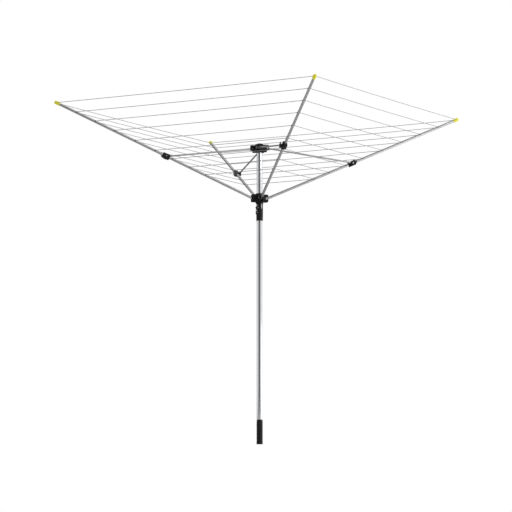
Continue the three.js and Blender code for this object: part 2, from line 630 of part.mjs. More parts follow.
for (let k = 0; k < ARM_COUNT; k += 1) {
  const number = k + 1;
  const side = new THREE.Group();
  side.rotation.z = k * RIGHT_ANGLE;

  const arm = new THREE.Group();
  arm.position.set(PIVOT_RADIUS, 0, RUNNER_PIVOT_Z);
  arm.rotation.y = -ARM_ANGLE;
  arm.add(
    piece(`arm_tube_${number}`, armTube(), armMetal()),
    piece(`arm_root_${number}`, armRoot(), blackPlastic()),
    piece(`tip_cap_${number}`, tipCap(), yellowPlastic()),
    piece(`bracket_${number}`, bracket(), blackPlastic()),
    piece(`bracket_pin_${number}`, bracketPin(), zinc()),
  );

  const strut = new THREE.Group();
  strut.position.set(PIVOT_RADIUS, -STRUT_OFFSET, TOP_PIVOT_Z);
  strut.rotation.y = STRUT_ANGLE;
  const outerEye = strutEye().rotate([0, 0, 180]).translate([STRUT_LENGTH, 0, 0]);
  strut.add(
    piece(`strut_tube_${number}`, strutTube(), armMetal()),
    piece(`strut_inner_end_${number}`, strutEye(), zinc()),
    piece(`strut_outer_end_${number}`, outerEye, blackPlastic()),
  );

  side.add(
    arm,
    strut,
    piece(`top_pivot_pin_${number}`, topPin(), zinc()),
    piece(`arm_pivot_stud_${number}`, armStud(), zinc()),
    piece(`lines_${number}`, armLines(), lineCover()),
  );
  clothesline.add(side);
}

export default clothesline;
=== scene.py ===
"""Looks of the rotary clothesline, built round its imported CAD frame.

Shapes are made in millimetres, in the frame that each function names, and make() turns
them to metres and places them. Arm 1 points along +X, and arms 2 to 4 follow anticlockwise.
"""

import json
import math

import bmesh
import bpy
from mathutils import Matrix, Vector


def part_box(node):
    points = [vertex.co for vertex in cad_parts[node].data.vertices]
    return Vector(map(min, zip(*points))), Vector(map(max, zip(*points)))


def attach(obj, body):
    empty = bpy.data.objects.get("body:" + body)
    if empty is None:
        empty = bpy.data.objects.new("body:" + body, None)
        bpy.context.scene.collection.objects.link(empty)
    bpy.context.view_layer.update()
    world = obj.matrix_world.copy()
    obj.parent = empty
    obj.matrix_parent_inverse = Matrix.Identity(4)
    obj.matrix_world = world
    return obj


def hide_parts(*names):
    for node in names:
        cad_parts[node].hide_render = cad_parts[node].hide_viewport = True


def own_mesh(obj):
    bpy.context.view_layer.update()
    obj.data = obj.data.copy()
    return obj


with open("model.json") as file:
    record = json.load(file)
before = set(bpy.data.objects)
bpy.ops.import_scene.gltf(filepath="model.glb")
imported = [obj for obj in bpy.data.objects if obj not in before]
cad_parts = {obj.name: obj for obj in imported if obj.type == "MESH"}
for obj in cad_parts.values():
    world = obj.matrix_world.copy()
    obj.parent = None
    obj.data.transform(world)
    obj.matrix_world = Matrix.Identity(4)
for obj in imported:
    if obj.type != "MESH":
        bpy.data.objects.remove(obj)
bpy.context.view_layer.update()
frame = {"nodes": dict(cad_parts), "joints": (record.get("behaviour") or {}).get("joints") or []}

# ---------------------------------------------------------------- dimensions
MM = 0.001
ARM_COUNT = 4
GAP = 0.3  # clearance between touching pieces
JOINTS = {joint["name"]: joint for joint in frame["joints"]}


def lowest(node):
    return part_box(node)[0] / MM


def highest(node):
    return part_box(node)[1] / MM


# mast and foot
MAST_RADIUS = highest("mast_tube").x
MAST_WALL = 1.0
MAST_LOW = lowest("mast_tube").z
MAST_TOP = highest("mast_tube").z
FOOT_RADIUS = 18.4
FOOT_RIM_RADIUS = highest("foot_sleeve").x
WASHER_LOW = lowest("thrust_washer").z
WASHER_TOP = highest("thrust_washer").z
FOOT_TOP = WASHER_LOW - GAP
FOOT_CHAMFER_HEIGHT = 12.0
SPIGOT_RADIUS = 12.8
SPIGOT_TOP = highest("foot_sleeve").z

# folding linkage
STUD_LOW, STUD_HIGH = lowest("arm_pivot_stud_1"), highest("arm_pivot_stud_1")
PIVOT_RADIUS = (STUD_LOW.x + STUD_HIGH.x) / 2
RUNNER_PIVOT = (STUD_LOW.z + STUD_HIGH.z) / 2
TOP_JOINT = Vector(JOINTS["strut_fold_1"]["pos_m"]) / MM
TOP_PIVOT = TOP_JOINT.z
STRUT_OFFSET = -TOP_JOINT.y
BRACKET_JOINT = Vector(JOINTS["arm_fold_1"]["pos_m"]) / MM
ARM_ANGLE = math.atan2(BRACKET_JOINT.z - RUNNER_PIVOT, BRACKET_JOINT.x - PIVOT_RADIUS)
BRACKET_AT = math.hypot(BRACKET_JOINT.z - RUNNER_PIVOT, BRACKET_JOINT.x - PIVOT_RADIUS)
STRUT_ANGLE = math.atan2(TOP_PIVOT - BRACKET_JOINT.z, BRACKET_JOINT.x - PIVOT_RADIUS)
STRUT_LENGTH = math.hypot(TOP_PIVOT - BRACKET_JOINT.z, BRACKET_JOINT.x - PIVOT_RADIUS)

# arms and lines, measured along the arm from its root pivot
ARM_RADIUS = 8.0
ARM_BORE = 7.2
ARM_START = -6.0
ARM_END = 1305.0
TIP_RADIUS = 10.3
TIP_START = 1297.0
TIP_END = 1332.0
TIP_LINE_AT = 1313.0
LINE_STATIONS = [323, 429, 545, 661, 797, 934, 1062, 1187]
LINE_RADIUS = 1.6
LINE_RISE = 2.2
LINE_SAG = 0.0015  # of the line's length
LINE_STEPS = 12

# pins and clevises
STRUT_RADIUS = 5.0
EYE_RADIUS = 7.5
EYE_WIDTH = 9.0
TUBE_INSET = 16.0
PIN_RADIUS = 3.0
PIN_HEAD_RADIUS = 5.6
PIN_HEAD_WIDTH = 2.2
CHEEK_WIDTH = 4.0
CHEEK_GAP = EYE_WIDTH / 2 + GAP
CHEEK_OUTER = STRUT_OFFSET + CHEEK_GAP + CHEEK_WIDTH
CHEEK_INNER = STRUT_OFFSET - CHEEK_GAP - CHEEK_WIDTH
ARM_CHEEK_INNER = ARM_RADIUS + 1.1
ARM_CHEEK_OUTER = ARM_CHEEK_INNER + 5

# brackets
BRACKET_SIDE = ARM_RADIUS + 4.2
BRACKET_END = 23.0  # from the pin, along the arm
BRACKET_TOP = 14.5
BRACKET_LOW = -16.0
CHEEK_LOW = -14.0
PRONG_INNER = STRUT_OFFSET + 5.5  # clear of the folded strut's tube

# hubs, grip and latch
HUB_LOW = lowest("top_hub").z
HUB_TOP = highest("top_hub").z
CORE_RADIUS = 29.0
LUG_ROOT = 6.0  # inside the core, where every lug starts
LUG_END = highest("top_hub").x
LUG_LOW = 1771.0
SKIRT_END = 38.0  # the lugs' lower part stays inside a folded strut
CAP_RADIUS = 21.0
RIVET_HEIGHT = (lowest("hub_rivet").z + highest("hub_rivet").z) / 2
RIVET_AZIMUTH = -12  # degrees
RUNNER_LOW = lowest("runner_hub").z
COLLAR_TOP = highest("runner_hub").z
RUNNER_TOP = COLLAR_TOP - 6
SLIDE_BORE = 17.9
BUSH_RADIUS = 20.9
GRIP_LOW = lowest("grip_sleeve").z
GRIP_TOP = highest("grip_sleeve").z
LATCH_JOINT = Vector(JOINTS["latch_press"]["pos_m"]) / MM
LATCH_PIVOT = LATCH_JOINT.z
LATCH_RADIUS = math.hypot(LATCH_JOINT.x, LATCH_JOINT.y)
LATCH_AZIMUTH = math.atan2(LATCH_JOINT.y, LATCH_JOINT.x)
WINDOW_HALF = 5.4  # half of a latch window's width
EAR_OUTER = 8.4
UPPER_WINDOW = (LATCH_PIVOT + 7, LATCH_PIVOT + 27)  # lowest and highest z
LOWER_WINDOW = (LATCH_PIVOT - 31, LATCH_PIVOT - 9)
SIDE_WINDOW = (LATCH_PIVOT - 5, LATCH_PIVOT + 23)
SIDE_WINDOW_HALF = 2.2
SIDE_WINDOW_AZIMUTH = -70  # degrees
LEVER_HALF = 5.0
LEVER_OPENING_HALF = 3.2
LOWER_OPENING = (LATCH_PIVOT - 22, LATCH_PIVOT - 12)
UPPER_OPENING = (LATCH_PIVOT + 9, LATCH_PIVOT + 20)
SPRING_FOOT_RADIUS = 18.6
SPRING_FOOT = LATCH_PIVOT - 12

# allowances of the cutting and joining
PIN_PLAY = 0.2
INSERT_PLAY = 0.2  # between a bright insert and its opening
SUNK = 0.4  # how far a boss reaches into the face below it
THROUGH = 60.0  # longer than half of any piece that a cutting tool passes through
OVERRUN = 5.0  # how far an axial bore runs past the end of its piece
WELD = 0.002  # vertices closer than this become one


# --------------------------------------------------------------------- camera
CAMERA_TURN = math.radians(14.48)  # the photograph looks along +Y turned by this
CAMERA_RISE = math.radians(7.05)  # and looks up by this
CAMERA_DISTANCE = 19.9
CAMERA_LENS = 233.2
CAMERA_TARGET = Vector((0, 0, 1.0))
CAMERA_SIDE_STEP = -0.0217
CAMERA_LIFT = 0.1294


def camera_axes():
    """The camera's right, up and forward directions."""
    right = Vector((math.cos(CAMERA_TURN), -math.sin(CAMERA_TURN), 0))
    level = Vector((math.sin(CAMERA_TURN), math.cos(CAMERA_TURN), 0))
    forward = level * math.cos(CAMERA_RISE) + Vector((0, 0, math.sin(CAMERA_RISE)))
    return right, right.cross(forward), forward


def make_camera():
    right, up, forward = camera_axes()
    camera = bpy.data.objects.new("camera", bpy.data.cameras.new("camera"))
    bpy.context.scene.collection.objects.link(camera)
    camera.data.lens = CAMERA_LENS
    camera.data.clip_end = 100
    camera.location = CAMERA_TARGET - forward * CAMERA_DISTANCE
    camera.location += right * CAMERA_SIDE_STEP + up * CAMERA_LIFT
    camera.rotation_mode = "QUATERNION"
    camera.rotation_quaternion = Matrix((right, up, -forward)).transposed().to_quaternion()
    bpy.context.scene.camera = camera


# ------------------------------------------------------------------ materials
def fill_ramp(ramp_node, stops):
    """Gives a colour ramp its (position, colour) stops."""
    elements = ramp_node.color_ramp.elements
    while len(elements) < len(stops):
        elements.new(0.5)
    for element, (position, colour) in zip(elements, stops):
        element.position = position
        element.color = (*colour, 1)


class Shader:
    """A Principled material with short ways to add and link nodes."""

    def __init__(self, name, roughness=0.5, metallic=0.0, specular=0.5):
        self.material = bpy.data.materials.new(name)
        self.material.use_nodes = True
        self.tree = self.material.node_tree
        self.surface = self.tree.nodes["Principled BSDF"]
        self.surface.inputs["Metallic"].default_value = metallic
        self.surface.inputs["Roughness"].default_value = roughness
        self.surface.inputs["Specular IOR Level"].default_value = specular
        coordinates = self.tree.nodes.new("ShaderNodeTexCoord")
        self.place = coordinates.outputs["Object"]

    def link(self, source, target):
        self.tree.links.new(source, target)

    def stretched(self, scale):
        """Object coordinates scaled by a different amount on each axis."""
        node = self.tree.nodes.new("ShaderNodeMapping")
        node.inputs["Scale"].default_value = scale
        self.link(self.place, node.inputs["Vector"])
        return node.outputs["Vector"]

    def noise(self, scale, detail=3.0, place=None):
        node = self.tree.nodes.new("ShaderNodeTexNoise")
        node.inputs["Scale"].default_value = scale
        node.inputs["Detail"].default_value = detail
        self.link(place or self.place, node.inputs["Vector"])
        return node.outputs["Fac"]

    def cells(self, scale):
        node = self.tree.nodes.new("ShaderNodeTexVoronoi")
        node.inputs["Scale"].default_value = scale
        self.link(self.place, node.inputs["Vector"])
        return node.outputs["Color"]

    def edges(self):
        """High on convex edges, where the black plastic's painted sheen goes."""
        return self.tree.nodes.new("ShaderNodeNewGeometry").outputs["Pointiness"]

    def ramp(self, value, stops):
        """A colour for each value, from (position, colour) stops."""
        node = self.tree.nodes.new("ShaderNodeValToRGB")
        fill_ramp(node, stops)
        self.link(value, node.inputs["Fac"])
        return node.outputs["Color"]

    def between(self, value, low, high):
        """A noise value, whose middle half is spread over low to high."""
        node = self.tree.nodes.new("ShaderNodeMapRange")
        node.inputs["From Min"].default_value = 0.25
        node.inputs["From Max"].default_value = 0.75
        node.inputs["To Min"].default_value = low
        node.inputs["To Max"].default_value = high
        self.link(value, node.inputs["Value"])
        return node.outputs["Result"]

    def blended(self, amount, first, second, mode="MIX"):
        node = self.tree.nodes.new("ShaderNodeMix")
        node.data_type = "RGBA"
        node.blend_type = mode
        for socket, source in ((0, amount), (6, first), (7, second)):
            if isinstance(source, bpy.types.NodeSocket):
                self.link(source, node.inputs[socket])
            elif socket == 0:
                node.inputs[socket].default_value = source
            else:
                node.inputs[socket].default_value = (*source, 1)
        return node.outputs[2]

    def bump(self, value, depth, strength=1.0, below=None):
        node = self.tree.nodes.new("ShaderNodeBump")
        node.inputs["Distance"].default_value = depth
        node.inputs["Strength"].default_value = strength
        self.link(value, node.inputs["Height"])
        if below:
            self.link(below, node.inputs["Normal"])
        return node.outputs["Normal"]

    def paint(self, colour=None, roughness=None, normal=None):
        for name, source in (("Base Color", colour), ("Roughness", roughness), ("Normal", normal)):
            if source:
                self.link(source, self.surface.inputs[name])
        return self.material


def mast_metal():
    """Bright drawn tube, with fine streaks along its length and faint handling marks."""
    shader = Shader("bright_tube", metallic=1.0)
    streaks = shader.noise(1.0, 4.0, shader.stretched((1400, 1400, 9)))
    smudges = shader.noise(14.0, 4.0)
    colour = shader.ramp(streaks, [(0.3, (0.84, 0.85, 0.87)), (0.7, (0.9, 0.91, 0.93))])
    colour = shader.blended(0.3, colour, shader.ramp(
        smudges, [(0.35, (0.86, 0.87, 0.88)), (0.65, (0.97, 0.97, 0.98))]), "MULTIPLY")
    roughness = shader.between(shader.blended(0.4, streaks, smudges), 0.09, 0.17)
    return shader.paint(colour, roughness, shader.bump(streaks, 0.00001, 0.25))


def arm_metal():
    """Galvanised tube: satin grey with a faint spangle and cloudy dulling."""
    shader = Shader("galvanised_tube", metallic=1.0)
    spangle = shader.cells(260.0)
    clouds = shader.noise(30.0, 5.0)
    colour = shader.ramp(spangle, [(0.1, (0.55, 0.555, 0.565)), (0.9, (0.67, 0.675, 0.685))])
    colour = shader.blended(0.35, colour, shader.ramp(
        clouds, [(0.3, (0.7, 0.7, 0.71)), (0.7, (0.98, 0.98, 0.98))]), "MULTIPLY")
    roughness = shader.between(shader.blended(0.5, clouds, spangle), 0.24, 0.36)
    return shader.paint(colour, roughness, shader.bump(clouds, 0.00003, 0.3))


def black_plastic():
    """Moulded black nylon: a fine spark grain, and a painted sheen that lightens every convex edge.
    """
    shader = Shader("black_plastic", specular=0.25)
    grain = shader.noise(2600.0, 2.0)
    patches = shader.noise(38.0, 4.0)
    colour = shader.ramp(patches, [(0.3, (0.010, 0.0102, 0.0105)), (0.7, (0.019, 0.0192, 0.0197))])
    # painted sheen: convex edges are lightened in the colour, as if they caught the light
    edge_sheen = shader.ramp(shader.edges(), [(0.53, (0, 0, 0)), (0.6, (1, 1, 1))])
    colour = shader.blended(shader.blended(0.5, (0, 0, 0), edge_sheen), colour, (0.05, 0.05, 0.051))
    roughness = shader.between(patches, 0.46, 0.62)
    return shader.paint(colour, roughness, shader.bump(grain, 0.00008, 0.55))


def tip_plastic():
    """Fluorescent yellow moulded plastic with faint flow marks and a fine grain, and a painted glow
    from a weak emission.
    """
    shader = Shader("yellow_plastic", specular=0.45)
    flow = shader.noise(1.0, 3.0, shader.stretched((60, 60, 180)))
    colour = shader.ramp(flow, [(0.3, (0.80, 0.76, 0.02)), (0.7, (0.92, 0.87, 0.035))])
    grain = shader.noise(1800.0, 2.0)
    # painted glow: the yellow is also emitted, so the caps shine brighter than the lamps light them
    shader.link(colour, shader.surface.inputs["Emission Color"])
    shader.surface.inputs["Emission Strength"].default_value = 0.16
    return shader.paint(colour, shader.between(flow, 0.3, 0.44), shader.bump(grain, 0.00005, 0.4))


def nylon():
    """Natural nylon, slightly translucent in look, with a waxy surface."""
    shader = Shader("natural_nylon", specular=0.45)
    shader.surface.inputs["Subsurface Weight"].default_value = 0.15
    shader.surface.inputs["Subsurface Scale"].default_value = 0.002
    clouds = shader.noise(90.0, 3.0)
    colour = shader.ramp(clouds, [(0.3, (0.70, 0.69, 0.62)), (0.7, (0.80, 0.79, 0.73))])
    roughness = shader.between(clouds, 0.38, 0.5)
    return shader.paint(colour, roughness, shader.bump(clouds, 0.00004, 0.4))


def line_cover():
    """Grey PVC cover with the lay of the core showing through as a fine ripple."""
    shader = Shader("line_cover", specular=0.4)
    lay = shader.noise(420.0, 2.0)
    soil = shader.noise(11.0, 4.0)
    colour = shader.ramp(soil, [(0.3, (0.32, 0.325, 0.335)), (0.7, (0.43, 0.435, 0.445))])
    return shader.paint(colour, shader.between(lay, 0.42, 0.6), shader.bump(lay, 0.0002, 0.6))


def zinc():
    """Dull zinc plate with turned marks and cloudy patches."""
    shader = Shader("zinc_plate", metallic=1.0)
    marks = shader.noise(700.0, 3.0)
    dull = shader.noise(160.0, 3.0)
    colour = shader.ramp(dull, [(0.3, (0.38, 0.385, 0.395)), (0.7, (0.52, 0.525, 0.535))])
    return shader.paint(colour, shader.between(dull, 0.34, 0.5), shader.bump(marks, 0.00003, 0.4))


FINISHES = {
    "mast_metal": mast_metal(),
    "arm_metal": arm_metal(),
    "black_plastic": black_plastic(),
    "tip_plastic": tip_plastic(),
    "nylon": nylon(),
    "line_cover": line_cover(),
    "zinc": zinc(),
}


# --------------------------------------------------------------- solid making
def turn_about(axis, degrees):
    return Matrix.Rotation(math.radians(degrees), 4, axis)


def moved(x, y, z):
    return Matrix.Translation((x, y, z))


ALONG_X = turn_about("Y", 90)  # carries +Z to +X
ALONG_Y = turn_about("X", -90)  # carries +Z to +Y
AGAINST_Y = turn_about("X", 90)  # carries +Z to -Y


def softened(outline, radius, steps=4):
    """A closed outline with each corner rounded, apart from corners on the axis."""
    points = [Vector(point) for point in outline]
    result = []
    for before, corner, after in zip(points[-1:] + points[:-1], points, points[1:] + points[:1]):
        if corner.x == 0:
            result.append(corner)
            continue
        to_before, to_after = before - corner, after - corner
        size = min(radius, to_before.length * 0.45, to_after.length * 0.45)
        start = corner + to_before.normalized() * size
        end = corner + to_after.normalized() * size
        for step in range(steps + 1):
            t = step / steps
            result.append(start * (1 - t) ** 2 + corner * 2 * t * (1 - t) + end * t * t)
    return result


def turned(profile, soft=0.5, segments=64):
    """A closed profile of (radius, height) turned round the Z axis."""
    solid = bmesh.new()
    rings = []
    for radius, height in softened(profile, soft):
        count = segments if radius > 1e-6 else 1
        angles = [2 * math.pi * step / count for step in range(count)]
        rings.append([
            solid.verts.new((radius * math.cos(a), radius * math.sin(a), height)) for a in angles
        ])
    for lower, upper in zip(rings, rings[1:] + rings[:1]):
        if len(lower) == len(upper) == 1:
            continue
        for here in range(segments):
            there = (here + 1) % segments
            corners = [
                lower[here % len(lower)], lower[there % len(lower)],
                upper[there % len(upper)], upper[here % len(upper)],
            ]
            solid.faces.new(list(dict.fromkeys(corners)))
    bmesh.ops.recalc_face_normals(solid, faces=solid.faces)
    return solid


def ring(outer, inner, low, high, soft=0.4, segments=64):
    return turned([(inner, low), (outer, low), (outer, high), (inner, high)], soft, segments)


def drum(radius, low, high, soft=0.4, segments=48):
    return turned([(0, low), (radius, low), (radius, high), (0, high)], soft, segments)


def placed(solid, place):
    solid.transform(place)
    return solid


def plate(outline, from_y, to_y, corner=0.0, edge=0.8):
    """An outline of (x, z) points, extruded along Y, with its rim rounded."""
    points = softened(outline, corner, 6) if corner else [Vector(point) for point in outline]
    solid = bmesh.new()
    near = [solid.verts.new((x, from_y, z)) for x, z in points]
    far = [solid.verts.new((x, to_y, z)) for x, z in points]
    solid.faces.new(near)
    solid.faces.new(far[::-1])
    for here in range(len(points)):
        there = (here + 1) % len(points)
        solid.faces.new([near[there], near[here], far[here], far[there]])
    bmesh.ops.recalc_face_normals(solid, faces=solid.faces)
    if edge:
        sharp = [e for e in solid.edges if e.calc_face_angle(0) > math.radians(50)]
        bmesh.ops.bevel(
            solid, geom=sharp, offset=edge, segments=3, profile=0.5, affect="EDGES",
            clamp_overlap=True)
    return solid


def block(low_x, high_x, low_z, high_z, from_y, to_y, corner=0.0, edge=0.8):
    outline = [(low_x, low_z), (high_x, low_z), (high_x, high_z), (low_x, high_z)]
    return plate(outline, from_y, to_y, corner, edge)


def cross_drum(radius, x, z, from_y, to_y, soft=0.4, segments=32):
    """A drum along Y, as every hinge pin is."""
    return placed(drum(radius, from_y, to_y, soft, segments), moved(x, 0, z) @ ALONG_Y)


def pin_bore(x=0.0, z=0.0, from_y=-THROUGH, to_y=THROUGH, segments=32):
    """The hole that a linkage pin leaves along Y."""
    return cross_drum(PIN_RADIUS + PIN_PLAY, x, z, from_y, to_y, 0, segments)


def as_object(solid):
    mesh = bpy.data.meshes.new("step")
    solid.to_mesh(mesh)
    solid.free()
    carrier = bpy.data.objects.new("step", mesh)
    bpy.context.scene.collection.objects.link(carrier)
    return carrier


def combined(operation, base, *tools):
    """The base solid joined with, or cut by, each tool in turn."""
    body = as_object(base)
    for tool in tools:
        other = as_object(tool)
        step = body.modifiers.new("step", "BOOLEAN")
        step.operation = operation
        step.solver = "EXACT"
        step.object = other
        graph = bpy.context.evaluated_depsgraph_get()
        result = bpy.data.meshes.new_from_object(body.evaluated_get(graph))
        body.modifiers.clear()
        body.data = result
        bpy.data.objects.remove(other)
    solid = bmesh.new()
    solid.from_mesh(body.data)
    bpy.data.objects.remove(body)
    bmesh.ops.remove_doubles(solid, verts=solid.verts, dist=WELD)
    bmesh.ops.dissolve_degenerate(solid, edges=solid.edges, dist=WELD)
    return solid


def join(base, *tools):
    return combined("UNION", base, *tools)


def cut(base, *tools):
    return combined("DIFFERENCE", base, *tools)


def gathered(*solids):
    """Separate solids held in one mesh."""
    whole = bmesh.new()
    for solid in solids:
        mesh = bpy.data.meshes.new("step")
        solid.to_mesh(mesh)
        solid.free()
        whole.from_mesh(mesh)
        bpy.data.meshes.remove(mesh)
    return whole


def around_mast(build):
    """The solid that build() makes, at each of the four arm directions."""
    return [placed(build(), turn_about("Z", 90 * k)) for k in range(ARM_COUNT)]


def make(name, solid, slot, body, stands_for=(), place=None, sharp=32):
    """Turns a solid to metres and makes it a piece of the object."""
    if place:
        solid.transform(place)
    solid.transform(Matrix.Scale(MM, 4))
    mesh = bpy.data.meshes.new(name)
    solid.to_mesh(mesh)
    solid.free()
    for polygon in mesh.polygons:
        polygon.use_smooth = True
    mesh.set_sharp_from_angle(angle=math.radians(sharp))
    mesh.materials.append(FINISHES[slot])
    piece = bpy.data.objects.new(name, mesh)
    bpy.context.scene.collection.objects.link(piece)
    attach(piece, body)
    if stands_for:
        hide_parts(*stands_for)
    return piece


# -------------------------------------------------------------- foot and mast
def foot_sleeve():
    """A foot with a rim, a shallow belt groove and the spigot that holds the mast."""
    return turned([
        (0, 0), (FOOT_RIM_RADIUS, 0), (FOOT_RIM_RADIUS, 7.4), (FOOT_RADIUS, 9.6),
        (FOOT_RADIUS, 22), (FOOT_RADIUS - 0.7, 22.8), (FOOT_RADIUS - 0.7, 25), (FOOT_RADIUS, 25.8),
        (FOOT_RADIUS, FOOT_TOP - FOOT_CHAMFER_HEIGHT), (MAST_RADIUS - GAP, FOOT_TOP),
        (SPIGOT_RADIUS, FOOT_TOP), (SPIGOT_RADIUS, SPIGOT_TOP - 2), (SPIGOT_RADIUS - 2, SPIGOT_TOP),
        (9.5, SPIGOT_TOP), (9.5, 8), (0, 8),
    ], 0.9, 96)


def mast_tube():
    return ring(MAST_RADIUS, MAST_RADIUS - MAST_WALL, MAST_LOW, MAST_TOP, 0.45, 96)


def domed_head(radius, height):
    """A rivet head on the Z axis, rising from z = 0, with a small centre mark."""
    return turned([
        (0, -0.8), (radius * 0.6, -0.8), (radius * 0.6, 0), (radius, 0), (radius, height * 0.3),
        (radius * 0.78, height * 0.78), (radius * 0.45, height), (radius * 0.2, height * 0.99),
        (radius * 0.14, height * 0.72), (0, height * 0.66),
    ], 0.35, 40)


def headed_pin(x, z, from_y, to_y, tail=PIN_HEAD_RADIUS - 1.2):
    """A pin along Y with a domed head at from_y and a rolled tail at to_y."""
    head = placed(
        domed_head(PIN_HEAD_RADIUS, PIN_HEAD_WIDTH), moved(x, from_y, z) @ AGAINST_Y)
    shank = cross_drum(PIN_RADIUS, x, z, from_y - 0.6, to_y + 0.6)
    rolled = placed(
        ring(tail, 1.6, 0, PIN_HEAD_WIDTH, 0.9, 40), moved(x, to_y, z) @ ALONG_Y)
    return join(shank, head, rolled)


# -------------------------------------------------------------------- top hub
def top_hub():
    """A moulded core with four clevises set round it like a pinwheel."""
    core = turned([
        (0, HUB_LOW), (CORE_RADIUS - 4, HUB_LOW), (CORE_RADIUS, HUB_LOW + 4),
        (CORE_RADIUS, HUB_TOP - 9), (CORE_RADIUS - 0.8, HUB_TOP - 8.4),
        (CORE_RADIUS - 0.8, HUB_TOP - 3), (CORE_RADIUS - 2, HUB_TOP), (0, HUB_TOP),
    ], 1.0, 72)

    def lug():
        return block(
            LUG_ROOT, LUG_END, LUG_LOW, HUB_TOP - 2, -CHEEK_OUTER, -CHEEK_INNER, 5, 1.1)

    def skirt():
        return block(
            LUG_ROOT, SKIRT_END, HUB_LOW + 2, LUG_LOW + 8, -CHEEK_OUTER, -CHEEK_INNER, 2, 1.1)

    def boss():
        return placed(
            ring(8.6, 6.3, 0, 1.7, 0.6, 40),
            moved(PIVOT_RADIUS, -CHEEK_OUTER + SUNK, TOP_PIVOT) @ AGAINST_Y)

    def slot():
        return block(
            CORE_RADIUS - 3, THROUGH, HUB_LOW - OVERRUN, TOP_PIVOT + EYE_RADIUS + 2,
            -STRUT_OFFSET - CHEEK_GAP, -STRUT_OFFSET + CHEEK_GAP, 1.5, 0)

    def pin_hole():
        return pin_bore(PIVOT_RADIUS, TOP_PIVOT, to_y=0)

    whole = join(core, *around_mast(lug), *around_mast(skirt), *around_mast(boss))
    mast_socket = drum(MAST_RADIUS + GAP / 2, HUB_LOW - OVERRUN, MAST_TOP + GAP, 0, 72)
    return cut(whole, *around_mast(slot), *around_mast(pin_hole), mast_socket)


def top_cap():
    """A shallow dome with a rim and a raised button."""
    low = HUB_TOP + GAP
    return turned([
        (0, low), (CAP_RADIUS, low), (CAP_RADIUS, low + 2.4), (19.6, low + 3.0),
        (18.9, low + 2.6), (16.5, low + 5.2), (9, low + 7.0), (7.6, low + 6.4),
        (6.8, low + 7.8), (0, low + 8.0),
    ], 0.8, 72)


def hub_rivet():
    """A rivet across the hub and the mast, with a domed head on each side."""
    face = CORE_RADIUS + GAP
    heads = [
        placed(domed_head(4.0, 1.6), turn_about("Z", side) @ moved(face, 0, 0) @ ALONG_X)
        for side in (0, 180)
    ]
    shank = placed(drum(2.2, -face - 0.5, face + 0.5, 0.2, 24), ALONG_X)
    return placed(join(shank, *heads), moved(0, 0, RIVET_HEIGHT) @ turn_about("Z", RIVET_AZIMUTH))


# --------------------------------------------------------------------- runner
def runner_hub():
    """The sliding hub: a core with a clevis for each arm, and a collar on top."""
    core = turned([
        (0, RUNNER_LOW), (CORE_RADIUS - 5, RUNNER_LOW), (CORE_RADIUS, RUNNER_LOW + 5),
        (CORE_RADIUS, RUNNER_TOP - 3), (CORE_RADIUS - 3, RUNNER_TOP), (24, RUNNER_TOP),
        (23.4, COLLAR_TOP - 2), (22.4, COLLAR_TOP), (0, COLLAR_TOP),
    ], 1.2, 72)

    def lug():
        return block(
            LUG_ROOT, LUG_END, RUNNER_LOW, RUNNER_TOP, -ARM_CHEEK_OUTER, ARM_CHEEK_OUTER, 9, 1.2)

    def slot():
        return block(
            CORE_RADIUS, THROUGH, RUNNER_LOW - OVERRUN, RUNNER_TOP + OVERRUN,
            -ARM_CHEEK_INNER, ARM_CHEEK_INNER, 0, 0)

    def boss():
        return placed(
            ring(10.6, 8.9, 0, 1.9, 0.7, 48),
            moved(PIVOT_RADIUS, -ARM_CHEEK_OUTER + SUNK, RUNNER_PIVOT) @ AGAINST_Y)

    def far_boss():
        return placed(
            drum(7.6, 0, 1.9, 0.7, 44),
            moved(PIVOT_RADIUS, ARM_CHEEK_OUTER - SUNK, RUNNER_PIVOT) @ ALONG_Y)

    def stud_hole():
        return pin_bore(PIVOT_RADIUS, RUNNER_PIVOT, to_y=0)

    def gusset():
        """A rib in the corner between two clevises."""
        root, rim = CORE_RADIUS - 13, CORE_RADIUS + 4.5
        rib = plate([
            (root, RUNNER_LOW + 4), (rim, RUNNER_LOW + 9), (rim, RUNNER_TOP - 8),
            (root, RUNNER_TOP - 2),
        ], -2, 2, 3, 0.7)
        return placed(rib, turn_about("Z", 45))

    whole = join(
        core, *around_mast(lug), *around_mast(gusset), *around_mast(boss), *around_mast(far_boss))
    bush_bore = drum(BUSH_RADIUS, RUNNER_LOW - OVERRUN, RUNNER_TOP, 0, 72)
    slide_bore = drum(SLIDE_BORE, RUNNER_TOP - 1, COLLAR_TOP + OVERRUN, 0, 72)
    return cut(whole, *around_mast(slot), *around_mast(stud_hole), bush_bore, slide_bore)


def arm_pivot_stud():
    """A hollow rivet in the clockwise cheek of a clevis, with a wide rolled head."""
    face = -ARM_CHEEK_OUTER - GAP
    head = placed(
        ring(8.4, 3.4, -0.6, PIN_HEAD_WIDTH, 0.9, 48),
        moved(PIVOT_RADIUS, face, RUNNER_PIVOT) @ AGAINST_Y)
    shank = cross_drum(PIN_RADIUS, PIVOT_RADIUS, RUNNER_PIVOT, face, -ARM_CHEEK_INNER - 0.2)
    web = cross_drum(4.2, PIVOT_RADIUS, RUNNER_PIVOT, face - 0.7, face + 0.3, 0.1)
    return join(shank, web, head)


def at_latch(solid):
    return placed(solid, Matrix.Rotation(LATCH_AZIMUTH, 4, "Z"))


def at_side_window(solid):
    return placed(solid, turn_about("Z", SIDE_WINDOW_AZIMUTH))


def opening(heights, half_width):
    """Cuts a window through one wall, in the direction of +X."""
    return block(14, 34, *heights, -half_width, half_width, 0, 0)


